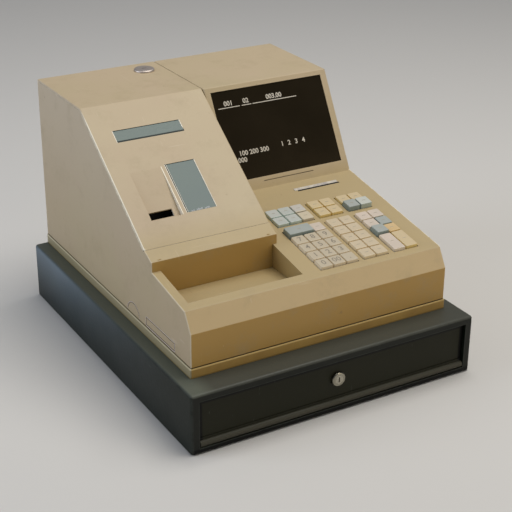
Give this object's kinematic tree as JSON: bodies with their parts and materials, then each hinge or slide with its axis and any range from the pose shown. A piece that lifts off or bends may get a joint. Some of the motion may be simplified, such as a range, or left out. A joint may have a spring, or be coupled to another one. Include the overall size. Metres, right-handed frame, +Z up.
{
  "type": "cash register",
  "caption": "Counter register with a two-station printer tower, display hood and sloping keyboard on a locking cash drawer.",
  "frame": {"origin": "middle of the footprint, on the surface that the rubber feet stand on", "axes": "+X to the operator's right, +Y from the keyboard to the back, +Z up"},
  "size_m": [0.41, 0.488, 0.3287],
  "materials": {
    "cabinet_paint": "satin dark green-grey enamel",
    "housing_plastic": "fine-textured warm beige moulding",
    "base_plastic": "fine-textured ochre moulding",
    "dark_window": "polished smoked acrylic",
    "blue_window": "tinted blue-grey acrylic",
    "chrome_plate": "polished",
    "lock_brass": "nickelled brass",
    "zinc_steel": "zinc plated",
    "feet_rubber": "matt",
    "gland_rubber": "matt",
    "till_plastic": "dark grey moulding",
    "frame_plastic": "black moulding",
    "board_laminate": "green solder resist",
    "coil_iron": "varnished laminations",
    "type_alloy": "engraved type drum",
    "ink_felt": "ink-soaked foam",
    "feed_rubber": "ground rubber",
    "roll_paper": "uncoated roll",
    "spool_plastic": "moulded",
    "key_cream": "double-shot key cap",
    "key_light_blue": "key cap",
    "key_slate": "key cap",
    "key_green": "key cap",
    "key_yellow": "key cap",
    "key_white": "key cap",
    "key_orange": "key cap"
  },
  "bodies": {
    "register": {"drawer_cabinet": "cabinet_paint", "rubber_feet": "feet_rubber", "cabinet_slides": "zinc_steel", "kick_spring": "zinc_steel", "latch_solenoid": "zinc_steel", "base_tray": "base_plastic", "main_board": "board_laminate", "main_housing": "housing_plastic", "display_hood": "housing_plastic", "display_window": "dark_window", "display_board": "board_laminate", "hinge_pin": "zinc_steel", "printer_frame": "zinc_steel", "power_transformer": "coil_iron", "cord_inlet": "gland_rubber", "back_screws": "zinc_steel", "keyboard_frame": "frame_plastic"},
    "drawer": {"drawer_box": "cabinet_paint", "drawer_front": "cabinet_paint", "drawer_slides": "zinc_steel", "drawer_lock_barrel": "chrome_plate", "till_insert": "till_plastic", "clip_rod": "zinc_steel"},
    "printer_lid": {"printer_cover": "housing_plastic", "cover_windows": "blue_window", "cover_lock_barrel": "chrome_plate"},
    "drawer_lock": {"drawer_lock_plug": "lock_brass"},
    "cover_lock": {"cover_lock_plug": "lock_brass"},
    "banknote_clips": {"bill_clips": "zinc_steel"},
    "latch": {"latch_lever": "zinc_steel"},
    "drum": {"print_drum": "type_alloy"},
    "inker": {"ink_roller": "ink_felt"},
    "feeder": {"feed_roller": "feed_rubber"},
    "receipt_paper": {"receipt_roll": "roll_paper"},
    "journal_paper": {"journal_roll": "roll_paper"},
    "take_up": {"take_up_spool": "spool_plastic"},
    "total_key_cap": {"total_key": "key_yellow"},
    "wide_key_cap": {"wide_key": "key_slate"},
    "tender_key_cap": {"tender_key": "key_white"},
    "orange_key_cap": {"orange_key": "key_orange"},
    "slate_key_cap": {"slate_key": "key_slate"},
    "green_key_cap": {"green_key": "key_green"},
    "clear_key_cap": {"clear_key": "key_white"},
    "key_00_cap": {"key_00": "key_cream"},
    "key_0_cap": {"key_0": "key_cream"},
    "key_point_cap": {"key_point": "key_cream"},
    "department_keys_cap": {"department_keys": "key_light_blue"},
    "yellow_keys_cap": {"yellow_keys": "key_yellow"},
    "cream_keys_cap": {"cream_keys": "key_cream"},
    "white_function_keys_cap": {"white_function_keys": "key_white"},
    "blue_function_keys_cap": {"blue_function_keys": "key_slate"},
    "key_1_cap": {"key_1": "key_cream"},
    "key_2_cap": {"key_2": "key_cream"},
    "key_3_cap": {"key_3": "key_cream"},
    "key_4_cap": {"key_4": "key_cream"},
    "key_5_cap": {"key_5": "key_cream"},
    "key_6_cap": {"key_6": "key_cream"},
    "key_7_cap": {"key_7": "key_cream"},
    "key_8_cap": {"key_8": "key_cream"},
    "key_9_cap": {"key_9": "key_cream"}
  },
  "joints": [
    {"name": "drawer_slide", "type": "slide", "parent": "register", "child": "drawer", "axis": [0, -1, 0], "range_m": [0, 0.32]},
    {"name": "lid_hinge", "type": "hinge", "parent": "register", "child": "printer_lid", "pos_m": [0, -0.08889, 0.18703], "axis": [1, 0, 0], "range_deg": [0, 55]},
    {"name": "drawer_lock_turn", "type": "hinge", "parent": "drawer", "child": "drawer_lock", "pos_m": [0, -0.239, 0.045], "axis": [0, -1, 0], "range_deg": [0, 90]},
    {"name": "cover_lock_turn", "type": "hinge", "parent": "printer_lid", "child": "cover_lock", "pos_m": [-0.04, 0.2065, 0.3255], "axis": [0, 0, -1], "range_deg": [0, 90]},
    {"name": "clip_lift", "type": "hinge", "parent": "drawer", "child": "banknote_clips", "pos_m": [0, 0.0625, 0.046], "axis": [-1, 0, 0], "range_deg": [0, 30], "stiffness_Nm_per_rad": 0.1, "springref_deg": -28.65},
    {"name": "latch_drop", "type": "hinge", "parent": "register", "child": "latch", "pos_m": [0.06, 0.2254, 0.066], "axis": [1, 0, 0], "range_deg": [0, 9], "stiffness_Nm_per_rad": 0.05, "springref_deg": -17.19},
    {"name": "drum_turn", "type": "hinge", "parent": "register", "child": "drum", "pos_m": [0, 0.012, 0.202], "axis": [1, 0, 0], "continuous": true},
    {"name": "ink_roller_turn", "type": "hinge", "parent": "register", "child": "inker", "pos_m": [0, 0.0355, 0.2145], "axis": [1, 0, 0], "continuous": true},
    {"name": "feed_roller_turn", "type": "hinge", "parent": "register", "child": "feeder", "pos_m": [0, -0.015, 0.207], "axis": [1, 0, 0], "continuous": true},
    {"name": "receipt_roll_turn", "type": "hinge", "parent": "register", "child": "receipt_paper", "pos_m": [0, 0.168, 0.215], "axis": [1, 0, 0], "continuous": true},
    {"name": "journal_roll_turn", "type": "hinge", "parent": "register", "child": "journal_paper", "pos_m": [0, 0.168, 0.215], "axis": [1, 0, 0], "continuous": true},
    {"name": "take_up_turn", "type": "hinge", "parent": "register", "child": "take_up", "pos_m": [0, 0.074, 0.248], "axis": [1, 0, 0], "continuous": true},
    {"name": "total_key_press", "type": "slide", "parent": "register", "child": "total_key_cap", "axis": [0, 0.1625, -0.9867], "range_m": [0, 0.0025], "stiffness_N_per_m": 400, "springref_m": -0.001},
    {"name": "wide_key_press", "type": "slide", "parent": "register", "child": "wide_key_cap", "axis": [0, 0.1625, -0.9867], "range_m": [0, 0.0025], "stiffness_N_per_m": 400, "springref_m": -0.001},
    {"name": "tender_key_press", "type": "slide", "parent": "register", "child": "tender_key_cap", "axis": [0, 0.1625, -0.9867], "range_m": [0, 0.0025], "stiffness_N_per_m": 400, "springref_m": -0.001},
    {"name": "orange_key_press", "type": "slide", "parent": "register", "child": "orange_key_cap", "axis": [0, 0.1625, -0.9867], "range_m": [0, 0.0025], "stiffness_N_per_m": 400, "springref_m": -0.001},
    {"name": "slate_key_press", "type": "slide", "parent": "register", "child": "slate_key_cap", "axis": [0, 0.1625, -0.9867], "range_m": [0, 0.0025], "stiffness_N_per_m": 400, "springref_m": -0.001},
    {"name": "green_key_press", "type": "slide", "parent": "register", "child": "green_key_cap", "axis": [0, 0.1625, -0.9867], "range_m": [0, 0.0025], "stiffness_N_per_m": 400, "springref_m": -0.001},
    {"name": "clear_key_press", "type": "slide", "parent": "register", "child": "clear_key_cap", "axis": [0, 0.1625, -0.9867], "range_m": [0, 0.0025], "stiffness_N_per_m": 400, "springref_m": -0.001},
    {"name": "key_00_press", "type": "slide", "parent": "register", "child": "key_00_cap", "axis": [0, 0.1625, -0.9867], "range_m": [0, 0.0025], "stiffness_N_per_m": 400, "springref_m": -0.001},
    {"name": "key_0_press", "type": "slide", "parent": "register", "child": "key_0_cap", "axis": [0, 0.1625, -0.9867], "range_m": [0, 0.0025], "stiffness_N_per_m": 400, "springref_m": -0.001},
    {"name": "key_point_press", "type": "slide", "parent": "register", "child": "key_point_cap", "axis": [0, 0.1625, -0.9867], "range_m": [0, 0.0025], "stiffness_N_per_m": 400, "springref_m": -0.001},
    {"name": "department_keys_press", "type": "slide", "parent": "register", "child": "department_keys_cap", "axis": [0, 0.1625, -0.9867], "range_m": [0, 0.0025], "stiffness_N_per_m": 2400, "springref_m": -0.001},
    {"name": "yellow_keys_press", "type": "slide", "parent": "register", "child": "yellow_keys_cap", "axis": [0, 0.1625, -0.9867], "range_m": [0, 0.0025], "stiffness_N_per_m": 2400, "springref_m": -0.001},
    {"name": "cream_keys_press", "type": "slide", "parent": "register", "child": "cream_keys_cap", "axis": [0, 0.1625, -0.9867], "range_m": [0, 0.0025], "stiffness_N_per_m": 4000, "springref_m": -0.001},
    {"name": "white_function_keys_press", "type": "slide", "parent": "register", "child": "white_function_keys_cap", "axis": [0, 0.1625, -0.9867], "range_m": [0, 0.0025], "stiffness_N_per_m": 1200, "springref_m": -0.001},
    {"name": "blue_function_keys_press", "type": "slide", "parent": "register", "child": "blue_function_keys_cap", "axis": [0, 0.1625, -0.9867], "range_m": [0, 0.0025], "stiffness_N_per_m": 800, "springref_m": -0.001},
    {"name": "key_1_press", "type": "slide", "parent": "register", "child": "key_1_cap", "axis": [0, 0.1625, -0.9867], "range_m": [0, 0.0025], "stiffness_N_per_m": 400, "springref_m": -0.001},
    {"name": "key_2_press", "type": "slide", "parent": "register", "child": "key_2_cap", "axis": [0, 0.1625, -0.9867], "range_m": [0, 0.0025], "stiffness_N_per_m": 400, "springref_m": -0.001},
    {"name": "key_3_press", "type": "slide", "parent": "register", "child": "key_3_cap", "axis": [0, 0.1625, -0.9867], "range_m": [0, 0.0025], "stiffness_N_per_m": 400, "springref_m": -0.001},
    {"name": "key_4_press", "type": "slide", "parent": "register", "child": "key_4_cap", "axis": [0, 0.1625, -0.9867], "range_m": [0, 0.0025], "stiffness_N_per_m": 400, "springref_m": -0.001},
    {"name": "key_5_press", "type": "slide", "parent": "register", "child": "key_5_cap", "axis": [0, 0.1625, -0.9867], "range_m": [0, 0.0025], "stiffness_N_per_m": 400, "springref_m": -0.001},
    {"name": "key_6_press", "type": "slide", "parent": "register", "child": "key_6_cap", "axis": [0, 0.1625, -0.9867], "range_m": [0, 0.0025], "stiffness_N_per_m": 400, "springref_m": -0.001},
    {"name": "key_7_press", "type": "slide", "parent": "register", "child": "key_7_cap", "axis": [0, 0.1625, -0.9867], "range_m": [0, 0.0025], "stiffness_N_per_m": 400, "springref_m": -0.001},
    {"name": "key_8_press", "type": "slide", "parent": "register", "child": "key_8_cap", "axis": [0, 0.1625, -0.9867], "range_m": [0, 0.0025], "stiffness_N_per_m": 400, "springref_m": -0.001},
    {"name": "key_9_press", "type": "slide", "parent": "register", "child": "key_9_cap", "axis": [0, 0.1625, -0.9867], "range_m": [0, 0.0025], "stiffness_N_per_m": 400, "springref_m": -0.001}
  ],
  "couplings": [
    {"joint": "ink_roller_turn", "follows": "drum_turn", "ratio": -1.6}
  ]
}
